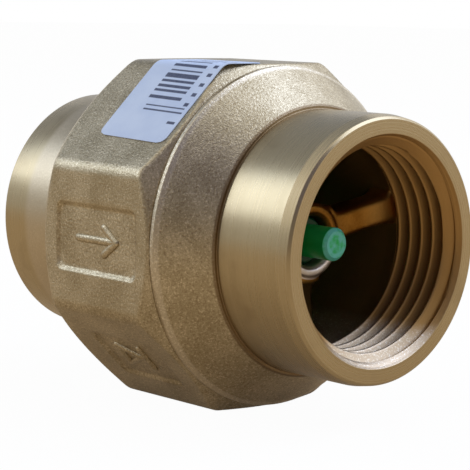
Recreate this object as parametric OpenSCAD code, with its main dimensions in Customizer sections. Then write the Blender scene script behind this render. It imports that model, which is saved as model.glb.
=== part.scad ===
// Spring-loaded non-return valve, 3/4 inch, in brass.
// The flow runs along +X, from the inlet collar to the outlet collar, and +Z is up.
// The origin is on the flow axis, midway between the two mouths.

/* [Housing] */
// Length from mouth to mouth
overall_l = 53.5; // [51:0.5:60]
// Distance across the flats of the octagon
across_flats = 42; // [41.5:0.5:46]
// How far the octagon's corners are trimmed, on the radius
corner_trim = 0.2; // [0.1:0.05:0.8]
// Length of the inlet collar, the turned part and the forged neck behind it
inlet_collar_l = 11; // [10:0.1:13]
// Wall of the inlet collar, outside the pipe thread
inlet_collar_wall = 2.38; // [2:0.01:3.6]
// Length of the inlet shoulder, from its collar to the octagon's corners
inlet_shoulder_l = 6.9; // [5:0.1:9]
// Length of the turned outlet collar
outlet_collar_l = 11.4; // [10.9:0.1:13]
// Wall of the outlet collar, outside the pipe thread
outlet_collar_wall = 2.68; // [2:0.01:3.6]
// Length of the outlet shoulder, from its collar to the rim
outlet_shoulder_l = 5.2; // [4:0.1:7]
// Width of the rim that meets the body
rim_w = 1; // [0.6:0.1:2]
// How far the rim lies inside the flats
rim_inset = 0.2; // [0.1:0.05:0.5]
// Chamfer on the outer edge of each mouth
mouth_chamfer = 0.75; // [0.3:0.05:1.2]

/* [Pipe threads] */
// Major diameter of the pipe thread, to which the plain bores are made
thread_d = 26.44; // [26:0.01:27]
// Length of the outlet thread's wall
outlet_thread_l = 7.1; // [6:0.1:7.4]
// Length of the inlet thread's wall
inlet_thread_l = 9.2; // [8:0.1:10]
// Lead-in chamfer at each thread
thread_lead = 0.45; // [0.2:0.05:0.8]
// Depth of the relief groove behind the outlet thread
relief_depth = 0.3; // [0.2:0.05:0.6]

/* [Recessed panels] */
// Length of the front panel, along the flow
panel_l = 14.6; // [10:0.1:15]
// Length of the lower panel, along the flow
lower_panel_l = 11; // [8:0.1:15]
// Height of each panel, across its flat
panel_h = 8; // [6:0.1:9]
// Depth of each panel
panel_depth = 0.35; // [0.2:0.05:0.6]
// Corner radius of each panel
panel_r = 0.7; // [0.3:0.1:1.5]
// Distance of the front panel's middle from the middle of its flat, towards the inlet
panel_offset = 0.6; // [0:0.1:0.8]

/* [Spider guide] */
// Number of arms
arm_count = 3; // [3:1:4]
// Angle of the first arm above the horizontal
arm_angle = 18; // [0:1:30]
// Width of each arm
arm_w = 3.4; // [2.5:0.1:4.5]
// Fillet where an arm meets the hub and the wall
arm_fillet = 1.3; // [0.6:0.1:1.6]
// Depth of the arms' turned front face inside the outlet mouth
arm_front = 9.7; // [9:0.1:12]
// Length of each arm along the flow, at the wall
arm_t = 4; // [3:0.1:5]
// Wall of the hub round its bore
hub_wall = 1.6; // [1.4:0.05:2.2]
// Depth of the hub's front face inside the outlet mouth
hub_front = 11.6; // [11:0.1:13.5]
// Length of the hub
hub_l = 6.3; // [5:0.1:7]
// Inner diameter of the passage at the arms
outlet_passage_d = 25.4; // [25:0.1:26]

/* [Joint between body and connector] */
// How far the joint's socket is bored outside the chamber, on the radius
socket_step = 0.8; // [0.5:0.1:1.2]
// Length of the connector's male spigot
spigot_l = 6.4; // [5:0.1:7]
// Gap between the spigot and its socket, on the radius
spigot_gap = 0.1; // [0.05:0.05:0.2]
// Thickness of the O-ring's section
o_ring_t = 1.5; // [1.2:0.1:1.8]

/* [Seat and chamber] */
// Part of the room between the disc and the flats that is open for the flow
flow_share = 0.34; // [0.3:0.01:0.4]
// Diameter of the seat's passage
seat_d = 19.6; // [19:0.1:20.4]
// Distance of the seat's lip from the inlet mouth
seat_from_inlet = 16.5; // [16:0.1:17.5]
// Height of the seat's lip above the chamber's floor
seat_lip_h = 1; // [0.6:0.1:1.4]
// Width of the seat's lip at its root
seat_lip_w = 1.8; // [1.4:0.1:2.2]
// Length of the straight passage before the seat
seat_land_l = 3.4; // [2.4:0.1:4]

/* [Poppet] */
// How far the poppet lifts off its seat
lift = 6; // [4:0.5:6]
// How far the poppet's disc covers the seat, on the radius
seat_cover = 2.4; // [2.2:0.1:3]
// Thickness of the disc behind the seal
disc_t = 2; // [1.6:0.1:2.6]
// Thickness of the seat seal
seal_t = 1.8; // [1.4:0.1:2.2]
// Diameter of the poppet's boss through the seal
boss_d = 12.6; // [11:0.1:13.5]
// Diameter of the guide stem, in the hub
stem_d = 5.94; // [5.5:0.01:6.2]
// Running gap between the guide stem and the hub, on the radius
stem_gap = 0.08; // [0.05:0.01:0.1]
// Diameter of the stem's tip, in front of the hub
tip_d = 4; // [3.6:0.1:4.4]
// How far the stop shoulder stands out from the guide stem, on the radius
stop_step = 0.28; // [0.2:0.02:0.5]
// How far the guide stem stays behind the hub's front face
stem_setback = 1.3; // [0.8:0.1:2]
// How far the tip ends behind the outlet thread's wall
tip_setback = 0.25; // [0.15:0.05:0.5]

/* [Seal retainer] */
// Gap between the retainer and the seat's passage, on the radius
retainer_gap = 1; // [0.6:0.1:1.6]
// Thickness of the retainer
retainer_t = 1.5; // [1.2:0.1:2]
// Diameter of the neck that it snaps on
neck_d = 8; // [7:0.1:9]
// How far the barbs stand out from the neck, on the radius
barb_h = 0.5; // [0.3:0.05:0.6]
// Length of the barbs
barb_l = 1.8; // [1.4:0.1:2.2]
// Width of the slot that lets the barbs spring
barb_slot = 1.2; // [0.8:0.1:1.6]

/* [Spring] */
// Wire diameter
wire_d = 0.8; // [0.6:0.05:0.9]
// Gap between the coils and the poppet's stop shoulder, on the radius
coil_gap = 0.3; // [0.2:0.05:0.5]
// Number of turns
spring_turns = 7; // [5:1:8]

/* [Label] */
// Length of the label along the flow
label_l = 12.6; // [8:0.1:13]
// Length of the label across the upper front flat, up to its corner
label_front_h = 12.3; // [8:0.1:13]
// Length of the label on the top flat, from the corner
label_top_h = 6.4; // [3:0.1:8]
// Thickness of the paper
label_t = 0.12; // [0.1:0.01:0.2]
// Distance of the label from the joint between body and connector
label_gap = 0.85; // [0.4:0.05:3]

/* [Hidden] */
$fn = 96;

sides = 8;
half_angle = 180 / sides;
// Angles of the flats from +Y, about the flow axis
front_flat = 180;
lower_front_flat = front_flat + 2 * half_angle;
upper_front_flat = front_flat - 2 * half_angle;

// Gaps between pieces that touch, and between pieces that close on each other
face_gap = 0.02;
seat_gap = 0.05;
// How far a cut runs past a face, how far the arms run into the hub and the wall,
// and how far a fillet cuts past the faces that it joins
cut_past = 1;
bury = 0.6;
fillet_bite = 0.05;

// Places along the flow
half_l = overall_l / 2;
x_joint = half_l - outlet_collar_l - outlet_shoulder_l - rim_w;
x_shoulder_out = half_l - outlet_collar_l;
x_collar_in = -half_l + inlet_collar_l;
x_corner_in = x_collar_in + inlet_shoulder_l;
x_seat = -half_l + seat_from_inlet;
x_floor = x_seat - seat_lip_h;
x_spigot = x_joint - spigot_l;
x_hub_front = half_l - hub_front;
x_hub_back = x_hub_front - hub_l;
x_arm_front = half_l - arm_front;
x_arm_back = x_arm_front - arm_t;
x_thread_out = half_l - thread_lead - outlet_thread_l;
x_thread_in = -half_l + thread_lead + inlet_thread_l;
x_disc_back = x_seat + seal_t;
x_disc_front = x_disc_back + disc_t;
x_neck = x_seat;
x_barb = x_neck - retainer_t - seat_gap;
x_tip = x_thread_out - tip_setback;
x_stem_end = x_hub_front - stem_setback;
x_stop = x_hub_back - lift - seat_gap;
x_flat_middle = (x_joint + x_corner_in) / 2;

// Radii
flat_r = across_flats / 2;
corner_r = flat_r / cos(half_angle) - corner_trim;
rim_r = flat_r - rim_inset;
thread_r = thread_d / 2;
relief_r = thread_r + relief_depth;
passage_r = outlet_passage_d / 2;
inlet_collar_r = thread_r + inlet_collar_wall;
outlet_collar_r = thread_r + outlet_collar_wall;
seat_r = seat_d / 2;
disc_r = seat_r + seat_cover;
chamber_r = disc_r + flow_share * (flat_r - disc_r);
socket_r = chamber_r + socket_step;
spigot_r = socket_r - spigot_gap;
stem_r = stem_d / 2;
hub_bore_r = stem_r + stem_gap;
hub_r = hub_bore_r + hub_wall;
stop_r = stem_r + stop_step;
coil_r = stop_r + coil_gap + wire_d / 2;
boss_r = boss_d / 2;
neck_r = neck_d / 2;
retainer_r = seat_r - retainer_gap;

// A solid turned about the flow axis. Each point is [radius, x].
module turned(outline) {
    rotate([0, 90, 0]) rotate_extrude() polygon(outline);
}

// A flat outline, drawn in Y and Z and run along the flow from x.
module run_along(x, length) {
    translate([x, 0, 0]) rotate([90, 0, 90]) linear_extrude(length) children();
}

// Octagon with sharp corners and one flat facing down.
module octagon(r) {
    polygon([for (k = [0 : sides - 1])
        let (a = (2 * k + 1) * half_angle) r / cos(half_angle) * [cos(a), sin(a)]]);
}

// Rectangle with rounded corners, about its centre.
module rounded_rect(w, h, r) {
    square([w - 2 * r, h], center = true);
    square([w, h - 2 * r], center = true);
    for (x = [-1, 1], y = [-1, 1])
        translate([x * (w / 2 - r), y * (h / 2 - r)]) circle(r);
}

// One recessed panel, with its middle at x, on the flat at this angle from +Y.
module panel(angle, x, length) {
    rotate([angle, 0, 0])
        translate([x, flat_r - panel_depth, 0])
            rotate([-90, 0, 0])
                linear_extrude(panel_depth + cut_past) rounded_rect(length, panel_h, panel_r);
}

// Outside of the body, turned: end face, corner chamfer, trimmed corners, shoulder and collar.
module body_turned_form() {
    corner_chamfer = corner_r - rim_r;
    turned([
        [0, x_joint], [rim_r, x_joint], [corner_r, x_joint - corner_chamfer],
        [corner_r, x_corner_in],
        [inlet_collar_r, x_collar_in], [inlet_collar_r, -half_l + mouth_chamfer],
        [inlet_collar_r - mouth_chamfer, -half_l], [0, -half_l]
    ]);
}

// Inside of the body: inlet thread, passage, seat, chamber, spigot socket and O-ring recess.
module body_bore() {
    floor_chamfer = 1;
    lip_flat = 0.6;
    turned([
        [0, -half_l - cut_past], [thread_r + thread_lead + cut_past, -half_l - cut_past],
        [thread_r, -half_l + thread_lead], [thread_r, x_thread_in],
        [seat_r, x_seat - seat_land_l], [seat_r, x_seat],
        [seat_r + lip_flat, x_seat], [seat_r + seat_lip_w, x_floor],
        [chamber_r - floor_chamfer, x_floor], [chamber_r, x_floor + floor_chamfer],
        [chamber_r, x_spigot], [socket_r, x_spigot],
        [socket_r, x_joint - o_ring_t], [socket_r + o_ring_t, x_joint - o_ring_t],
        [socket_r + o_ring_t, x_joint + cut_past], [0, x_joint + cut_past]
    ]);
}

// Hot-forged octagonal body with its inlet collar, seat and chamber.
module body() {
    color("darkkhaki") difference() {
        intersection() {
            run_along(-half_l, half_l + x_joint) octagon(flat_r);
            body_turned_form();
        }
        body_bore();
        panel(front_flat, x_flat_middle - panel_offset, panel_l);
        panel(lower_front_flat, x_flat_middle, lower_panel_l);
    }
}

// Shell of the end connector: collar, shoulder, rim, spigot, thread, relief and passage.
module connector_shell() {
    step = 0.35;
    edge = 0.3;
    turned([
        [thread_r + thread_lead, half_l], [outlet_collar_r - mouth_chamfer, half_l],
        [outlet_collar_r, half_l - mouth_chamfer], [outlet_collar_r, x_shoulder_out],
        [outlet_collar_r + step, x_shoulder_out], [rim_r - edge, x_joint + rim_w],
        [rim_r, x_joint + rim_w - edge], [rim_r, x_joint], [spigot_r, x_joint],
        [spigot_r, x_spigot + edge], [spigot_r - edge, x_spigot], [passage_r, x_spigot],
        [passage_r, x_arm_front], [relief_r, x_arm_front],
        [relief_r, x_thread_out - relief_depth], [thread_r, x_thread_out],
        [thread_r, half_l - thread_lead]
    ]);
}

// Fillet on one side of an arm, where its edge meets a circle about the axis.
// It lies outside the hub when side is 1, and inside the wall when side is -1.
module arm_fillet_piece(circle_r, side) {
    centre_y = arm_w / 2 + arm_fillet - fillet_bite;
    centre_r = circle_r + side * (arm_fillet - fillet_bite);
    centre_x = sqrt(centre_r * centre_r - centre_y * centre_y);
    touch = circle_r / centre_r;
    past = 1 - side * bury / circle_r;
    difference() {
        polygon([
            [centre_x, arm_w / 2 - face_gap], [centre_x, centre_y],
            [touch * centre_x, touch * centre_y], [touch * past * centre_x, touch * past * centre_y],
            [circle_r * past, arm_w / 2 - face_gap]
        ]);
        translate([centre_x, centre_y]) circle(arm_fillet);
    }
}

// Hub and arms seen along the flow, with fillets at both ends of each arm.
module spider_plan() {
    circle(hub_r);
    for (k = [0 : arm_count - 1])
        rotate(arm_angle + k * 360 / arm_count) {
            translate([0, -arm_w / 2]) square([passage_r + bury, arm_w]);
            for (s = [0, 1]) mirror([0, s]) {
                arm_fillet_piece(hub_r, 1);
                arm_fillet_piece(passage_r, -1);
            }
        }
}

// Section of hub and arms: turned flat at the wall, sloping back to a hub with rounded edges.
module spider_section() {
    turned_w = 2.9;
    turned_from_r = passage_r - turned_w;
    hub_edge = 0.6;
    bore_edge = 0.5;
    waist = hub_r + hub_edge / 3;
    turned([
        [hub_bore_r, x_hub_back], [hub_bore_r, x_hub_front - bore_edge],
        [hub_bore_r + bore_edge, x_hub_front], [hub_r - hub_edge, x_hub_front],
        [waist, x_hub_front - hub_edge / 2], [turned_from_r, x_arm_front],
        [passage_r + bury, x_arm_front], [passage_r + bury, x_arm_back],
        [turned_from_r, x_arm_back], [waist, x_hub_back + hub_edge],
        [hub_r, x_hub_back]
    ]);
}

// Outlet end of the housing, with the guide for the poppet's stem inside.
module end_connector() {
    color("tan") union() {
        connector_shell();
        intersection() {
            run_along(x_hub_back, half_l - x_hub_back) spider_plan();
            spider_section();
        }
    }
}

// Moulded poppet: stem and tip, stop shoulder inside the spring, disc with a spring seat,
// boss, neck and barbs.
module poppet() {
    tip_edge = 0.4;
    rim_lip = 0.6;
    spring_seat_r = coil_r + wire_d / 2 + coil_gap;
    spring_lip_t = 0.9;
    spring_lip_h = 0.8;
    barb_tip = x_barb - barb_l;
    color("limegreen") difference() {
        turned([
            [0, x_tip], [tip_d / 2 - tip_edge, x_tip], [tip_d / 2, x_tip - tip_edge],
            [tip_d / 2, x_stem_end], [stem_r - tip_edge, x_stem_end],
            [stem_r, x_stem_end - tip_edge], [stem_r, x_stop], [stop_r, x_stop],
            [stop_r, x_disc_front],
            [spring_seat_r, x_disc_front], [spring_seat_r, x_disc_front + spring_lip_h],
            [spring_seat_r + spring_lip_t, x_disc_front + spring_lip_h],
            [spring_seat_r + spring_lip_t, x_disc_front], [disc_r - rim_lip, x_disc_front],
            [disc_r, x_disc_front - rim_lip], [disc_r, x_disc_back], [boss_r, x_disc_back],
            [boss_r, x_neck], [neck_r, x_neck], [neck_r, x_barb],
            [neck_r + barb_h, x_barb], [neck_r - barb_h, barb_tip], [0, barb_tip]
        ]);
        translate([barb_tip - cut_past, -barb_slot / 2, -neck_r - cut_past])
            cube([barb_l + retainer_t + cut_past, barb_slot, 2 * (neck_r + cut_past)]);
    }
}

// Flat rubber ring that closes on the seat's lip.
module seat_seal() {
    color("dimgray") turned([
        [boss_r + face_gap, x_seat], [disc_r - seat_gap, x_seat],
        [disc_r - seat_gap, x_disc_back], [boss_r + face_gap, x_disc_back]
    ]);
}

// Ring that clamps the inner part of the seal, with a lead chamfer for the passage.
module seal_retainer() {
    lead = 0.4;
    color("seagreen") turned([
        [neck_r + face_gap, x_neck], [retainer_r, x_neck],
        [retainer_r, x_neck - retainer_t + lead],
        [retainer_r - lead, x_neck - retainer_t], [neck_r + face_gap, x_neck - retainer_t]
    ]);
}

// Tube of ring_sides facets swept along a list of points.
module swept_wire(path, r, ring_sides) {
    n = len(path);
    rings = [for (i = [0 : n - 1])
        let (
            ahead = path[min(i + 1, n - 1)] - path[max(i - 1, 0)],
            t = ahead / norm(ahead),
            side = cross([1, 0, 0], t) / norm(cross([1, 0, 0], t)),
            up = cross(t, side)
        )
        for (j = [0 : ring_sides - 1])
            let (a = 360 * j / ring_sides)
            path[i] + r * cos(a) * side + r * sin(a) * up];
    walls = [for (i = [0 : n - 2], j = [0 : ring_sides - 1])
        let (k = (j + 1) % ring_sides)
        [i * ring_sides + j, i * ring_sides + k, (i + 1) * ring_sides + k, (i + 1) * ring_sides + j]];
    first_cap = [[for (j = [0 : ring_sides - 1]) ring_sides - 1 - j]];
    last_cap = [[for (j = [0 : ring_sides - 1]) (n - 1) * ring_sides + j]];
    polyhedron(rings, concat(walls, first_cap, last_cap));
}

// Compression spring with closed ends, between the disc and the hub.
module spring() {
    steps = 24;
    wire_sides = 8;
    wire_r = wire_d / 2;
    from_x = x_disc_front + wire_r + face_gap;
    to_x = x_hub_back - wire_r - face_gap;
    closed = 1;
    rise = (to_x - from_x - 2 * closed * wire_d) / (spring_turns - 2 * closed);
    path = [for (i = [0 : spring_turns * steps])
        let (
            turn = i / steps,
            x = turn < closed ? turn * wire_d
                : turn > spring_turns - closed
                    ? to_x - from_x - (spring_turns - turn) * wire_d
                    : closed * wire_d + (turn - closed) * rise
        )
        [from_x + x, coil_r * cos(360 * turn), coil_r * sin(360 * turn)]];
    color("silver") swept_wire(path, wire_r, wire_sides);
}

// O-ring in the corner between the spigot and the body's end face.
module joint_seal() {
    section_r = o_ring_t / 2 - face_gap;
    color("black")
        rotate([0, 90, 0]) rotate_extrude()
            translate([socket_r + o_ring_t / 2, x_joint - o_ring_t / 2])
                circle(section_r);
}

// The octagon's outline with its trimmed corners, grown by a distance.
module label_outline(grown) {
    intersection() {
        octagon(flat_r + grown);
        circle(corner_r + grown);
    }
}

// Paper label, folded over the corner between the upper front flat and the top flat.
module label() {
    corner_y = -flat_r * tan(half_angle);
    color("lavender") intersection() {
        run_along(x_joint - label_gap - label_l, label_l) difference() {
            label_outline(face_gap + label_t);
            label_outline(face_gap);
        }
        union() {
            translate([-half_l, corner_y, 0])
                cube([overall_l, label_top_h, across_flats]);
            rotate([upper_front_flat, 0, 0])
                translate([-half_l, 0, corner_y])
                    cube([overall_l, across_flats, label_front_h]);
        }
    }
}

body();
end_connector();
poppet();
seat_seal();
seal_retainer();
spring();
joint_seal();
label();
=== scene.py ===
# %% [markdown]
# # A brass non-return valve
# This lesson dresses a spring-loaded non-return valve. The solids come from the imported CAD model,
# in metres, with the flow along +X and +Z up. They stay where they are. Each step below builds one
# piece of the real valve as a finer mesh, or gives a solid its finish.

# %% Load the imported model
import math

import bmesh
import bpy
import numpy as np
from mathutils import Matrix, Vector


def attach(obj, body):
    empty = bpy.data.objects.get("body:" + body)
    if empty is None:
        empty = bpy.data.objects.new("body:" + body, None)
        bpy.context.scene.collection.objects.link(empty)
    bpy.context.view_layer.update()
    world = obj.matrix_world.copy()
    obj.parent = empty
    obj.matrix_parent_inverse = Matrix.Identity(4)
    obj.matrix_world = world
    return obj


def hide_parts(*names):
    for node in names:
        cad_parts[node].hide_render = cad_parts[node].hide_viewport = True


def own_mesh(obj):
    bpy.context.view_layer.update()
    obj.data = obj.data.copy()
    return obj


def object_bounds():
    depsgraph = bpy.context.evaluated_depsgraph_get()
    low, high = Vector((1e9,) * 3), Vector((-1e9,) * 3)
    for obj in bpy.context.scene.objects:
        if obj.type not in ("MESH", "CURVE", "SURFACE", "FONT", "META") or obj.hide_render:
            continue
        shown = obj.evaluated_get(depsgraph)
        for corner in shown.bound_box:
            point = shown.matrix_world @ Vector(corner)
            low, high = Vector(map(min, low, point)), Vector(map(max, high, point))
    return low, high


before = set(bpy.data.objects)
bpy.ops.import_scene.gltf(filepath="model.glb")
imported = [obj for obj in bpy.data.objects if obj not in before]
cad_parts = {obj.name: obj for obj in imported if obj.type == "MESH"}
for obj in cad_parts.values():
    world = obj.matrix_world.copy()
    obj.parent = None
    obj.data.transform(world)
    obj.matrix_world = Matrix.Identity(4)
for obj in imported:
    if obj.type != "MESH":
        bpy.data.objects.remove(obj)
cad_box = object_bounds()
MM = 0.001
print("solids:", ", ".join(sorted(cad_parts)))
print("CAD box in mm:", [[round(v / MM, 2) for v in corner] for corner in cad_box])

# %% [markdown]
# ## Camera
# The photograph was taken from low down, with the outlet mouth turned towards the camera. A pinhole
# camera was fitted to the pipe thread, the rims and the octagon's corners. Its distance, turn and
# tilt are written here as they came out. A long lens from a short distance keeps the near mouth
# larger than the far collar, as in the photograph.

# %% Camera
CAMERA_TARGET = Vector((1.75, 0, 0)) * MM
CAMERA_DISTANCE = 227.155 * MM
CAMERA_TURN, CAMERA_TILT, CAMERA_ROLL = (math.radians(a) for a in (43.068, 7.133, 1.052))
SENSOR_MM = 36
FRAME_PIXELS, FOCAL_PIXELS = 470, 1813.188
OFF_CENTRE_PIXELS = (2.659, -5.253)
NEAREST_SEEN = 10 * MM

towards_camera = Vector((math.cos(CAMERA_TURN) * math.cos(CAMERA_TILT),
                         -math.sin(CAMERA_TURN) * math.cos(CAMERA_TILT), math.sin(CAMERA_TILT)))
level_right = Vector((0, 0, 1)).cross(towards_camera).normalized()
level_up = towards_camera.cross(level_right)
camera_right = math.cos(CAMERA_ROLL) * level_right + math.sin(CAMERA_ROLL) * level_up
camera_up = math.cos(CAMERA_ROLL) * level_up - math.sin(CAMERA_ROLL) * level_right

camera = bpy.data.objects.new("camera", bpy.data.cameras.new("camera"))
bpy.context.scene.collection.objects.link(camera)
camera.matrix_world = (Matrix.Translation(CAMERA_TARGET + CAMERA_DISTANCE * towards_camera)
                       @ Matrix((camera_right, camera_up, towards_camera)).transposed().to_4x4())
camera.data.sensor_width = SENSOR_MM
camera.data.lens = FOCAL_PIXELS / FRAME_PIXELS * SENSOR_MM
camera.data.shift_x = -OFF_CENTRE_PIXELS[0] / FRAME_PIXELS
camera.data.shift_y = OFF_CENTRE_PIXELS[1] / FRAME_PIXELS
camera.data.clip_start = NEAREST_SEEN
bpy.context.scene.camera = camera
bpy.context.scene.view_settings.view_transform = "Standard"
print("lens in mm:", round(camera.data.lens, 1))

# %% [markdown]
# ## Writing materials as expressions
# A material is a small program over the surface: a mask times a colour, or noise raised to a power.
# Drawn as nodes by hand, that is hard to read. Here a `Value` wraps one socket, and +, -, *, / and
# ** on it add the Math nodes. A `Finish` owns the material, and its `node` method makes any other
# node, so that a finish below reads like the sum that it is. All sizes in a finish are on the valve
# itself, in metres, so the grain stays the same from any side.

# %% Values
def operator(operation, reflected=False):
    """An operator that adds a Math node. In its reflected form the Value stands on the right."""
    def calculate(value, other):
        first, second = (other, value) if reflected else (value, other)
        return value.finish.node("ShaderNodeMath", {"operation": operation}, {0: first, 1: second})
    return calculate


class Value:
    """A number, colour or vector that changes over the surface."""

    def __init__(self, finish, socket):
        self.finish, self.socket = finish, socket

    __add__, __radd__ = operator("ADD"), operator("ADD", True)
    __sub__, __rsub__ = operator("SUBTRACT"), operator("SUBTRACT", True)
    __mul__, __rmul__ = operator("MULTIPLY"), operator("MULTIPLY", True)
    __truediv__, __rtruediv__ = operator("DIVIDE"), operator("DIVIDE", True)
    __pow__, __rpow__ = operator("POWER"), operator("POWER", True)


print("operators of a Value: + - * / **")

# %% Finishes
class Finish:
    """One material, built from nodes over the piece's own coordinates."""

    def __init__(self, name):
        self.material = bpy.data.materials.new(name)
        self.material.use_nodes = True
        self.tree = self.material.node_tree
        self.tree.nodes.clear()
        self.place = self.node("ShaderNodeTexCoord", out="Object")
        self.x, self.y, self.z = self.axes(self.place)
        self.radius = (self.y * self.y + self.z * self.z) ** 0.5

    def node(self, kind, settings=None, sockets=None, out=0):
        """Makes a node and gives its output, or the list of its outputs that a tuple names."""
        made = self.tree.nodes.new(kind)
        for name, value in (settings or {}).items():
            setattr(made, name, value)
        for name, value in (sockets or {}).items():
            if isinstance(value, Value):
                self.tree.links.new(value.socket, made.inputs[name])
            else:
                made.inputs[name].default_value = value
        if isinstance(out, tuple):
            return [Value(self, made.outputs[name]) for name in out]
        return Value(self, made.outputs[out])

    def axes(self, vector):
        return self.node("ShaderNodeSeparateXYZ", {}, {"Vector": vector}, ("X", "Y", "Z"))

    def noise(self, size_mm, detail=2, stretch=(1, 1, 1)):
        """Noise from 0 to 1 whose blotches are about size_mm across."""
        placed = self.node("ShaderNodeVectorMath", {"operation": "MULTIPLY"},
                           {0: self.place, 1: [s / (size_mm * MM) for s in stretch]})
        return self.node("ShaderNodeTexNoise", {}, {"Vector": placed, "Scale": 1, "Detail": detail})

    def rings(self, size_mm, detail=2):
        """Noise that only changes along the axis and outwards, as a lathe tool leaves it."""
        along = (self.x + self.radius) / (size_mm * MM)
        return self.node("ShaderNodeTexNoise", {"noise_dimensions": "1D"},
                         {"W": along, "Scale": 1, "Detail": detail})

    def step(self, value, start, end):
        """0 below start, 1 above end, and smooth between them."""
        return self.node("ShaderNodeMapRange", {"interpolation_type": "SMOOTHSTEP"},
                         {"Value": value, "From Min": start, "From Max": end})

    def between(self, value, start, end, soft):
        """1 between two places and 0 outside them, over soft borders."""
        return self.step(value, start - soft, start + soft) * self.step(value, end + soft, end - soft)

    def mix(self, share, first, second):
        """A colour between two, by a share from 0 to 1."""
        first, second = ([*c, 1] if isinstance(c, tuple) else c for c in (first, second))
        return self.node("ShaderNodeMix", {"data_type": "RGBA"}, {0: share, 6: first, 7: second}, 2)

    def bump(self, height, depth_mm):
        """Turns a height from 0 to 1 into a rise of depth_mm."""
        return self.node("ShaderNodeBump", {}, {"Height": height, "Distance": depth_mm * MM})

    def surface(self, **sockets):
        """Ends the material with a Principled shader."""
        named = {name.replace("_", " ").title(): value for name, value in sockets.items()}
        self.end_with(self.node("ShaderNodeBsdfPrincipled", {}, named))
        return self

    def end_with(self, shader, output="ShaderNodeOutputMaterial"):
        self.node(output, {}, {"Surface": shader}, ())


print("helpers of a Finish: noise, rings, step, between, mix, bump, surface")

# %% [markdown]
# ## Studio
# The photograph shows the valve on plain white. Brass is mostly reflection, so what stands round it
# matters more than how strong the lamps are. A soft lamp on the left draws the bright band down the
# turned collars, and one high at the back lights the shoulder from above. Both are a little blue, as
# daylight is. Grey cards, which only reflections see, stand where the room was dim. The world is
# white to the camera and in reflections. The floor is nearly white to the camera too, with a little
# plain white mixed in that takes the valve's shadow. In the metal it is mostly a plain warm table,
# which the valve shades where the two are close.

# %% Floor
FLOOR_SIZE = 6.0
FLOOR_GLOW_SEEN, FLOOR_GLOW_REFLECTED = 0.97, 0.08
TABLE_WHITE, TABLE_WARM = (0.90, 0.90, 0.90), (0.61, 0.44, 0.25)
WHITE = (1, 1, 1, 1)


def rays(finish, *kinds):
    """1 for rays of the named kinds and 0 for all others."""
    found = [finish.node("ShaderNodeLightPath", out=f"Is {kind} Ray") for kind in kinds]
    return finish.node("ShaderNodeMath", {"operation": "MINIMUM"}, {0: sum(found[1:], found[0]), 1: 1})


def sheet(name, width, height, finish, z=0):
    """A flat rectangle that faces up."""
    corners = [(x * width / 2, y * height / 2, z) for x, y in ((-1, -1), (1, -1), (1, 1), (-1, 1))]
    mesh = bpy.data.meshes.new(name)
    mesh.from_pydata(corners, [], [(0, 1, 2, 3)])
    mesh.materials.append(finish.material)
    made = bpy.data.objects.new(name, mesh)
    bpy.context.scene.collection.objects.link(made)
    return made


floor_finish = Finish("white_floor")
seen, reflected = rays(floor_finish, "Camera"), rays(floor_finish, "Glossy", "Transmission")
table = floor_finish.node("ShaderNodeBsdfDiffuse", {},
                          {"Color": floor_finish.mix(seen, TABLE_WARM, TABLE_WHITE)})
glow = floor_finish.node("ShaderNodeEmission", {}, {"Color": WHITE, "Strength": 1})
glow_share = seen * FLOOR_GLOW_SEEN + reflected * FLOOR_GLOW_REFLECTED
floor_finish.end_with(floor_finish.node("ShaderNodeMixShader", {}, {0: glow_share, 1: table, 2: glow}))
floor = sheet("floor", FLOOR_SIZE, FLOOR_SIZE, floor_finish, cad_box[0].z)
print("floor at z =", round(cad_box[0].z / MM, 2), "mm")

# %% World
AMBIENT = 0.62


class Surroundings(Finish):
    """The world's own nodes, written in the same way as a finish."""

    def __init__(self, world):
        world.use_nodes = True
        self.tree = world.node_tree
        self.tree.nodes.clear()


bpy.context.scene.world = bpy.data.worlds.new("studio")
room = Surroundings(bpy.context.scene.world)
room_strength = rays(room, "Camera", "Glossy", "Transmission") * (1 - AMBIENT) + AMBIENT
room.end_with(room.node("ShaderNodeBackground", {}, {"Color": WHITE, "Strength": room_strength}),
              "ShaderNodeOutputWorld")
print("world light on the valve:", AMBIENT)

# %% Lamps
def stand_off(thing, direction, distance):
    """Puts a lamp or a card at a distance in metres, turned towards the valve."""
    thing.location = Vector(direction).normalized() * distance
    thing.rotation_euler = Vector(direction).to_track_quat("Z", "Y").to_euler()


# direction, distance and side in metres, power in watts, colour
LAMPS = {
    "left_soft_lamp": ((-0.72, -0.50, 0.47), 0.85, 0.40, 0.86, (0.81, 1.00, 1.34)),
    "back_soft_lamp": ((0.33, 0.58, 0.74), 0.70, 0.56, 1.9, (0.76, 0.97, 1.50)),
}
for name, (direction, distance, side, power, colour) in LAMPS.items():
    lamp = bpy.data.objects.new(name, bpy.data.lights.new(name, "AREA"))
    lamp.data.size, lamp.data.energy, lamp.data.color = side, power, colour
    stand_off(lamp, direction, distance)
    bpy.context.scene.collection.objects.link(lamp)
    print(name, "at", [round(v, 2) for v in lamp.location], "m")

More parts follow.
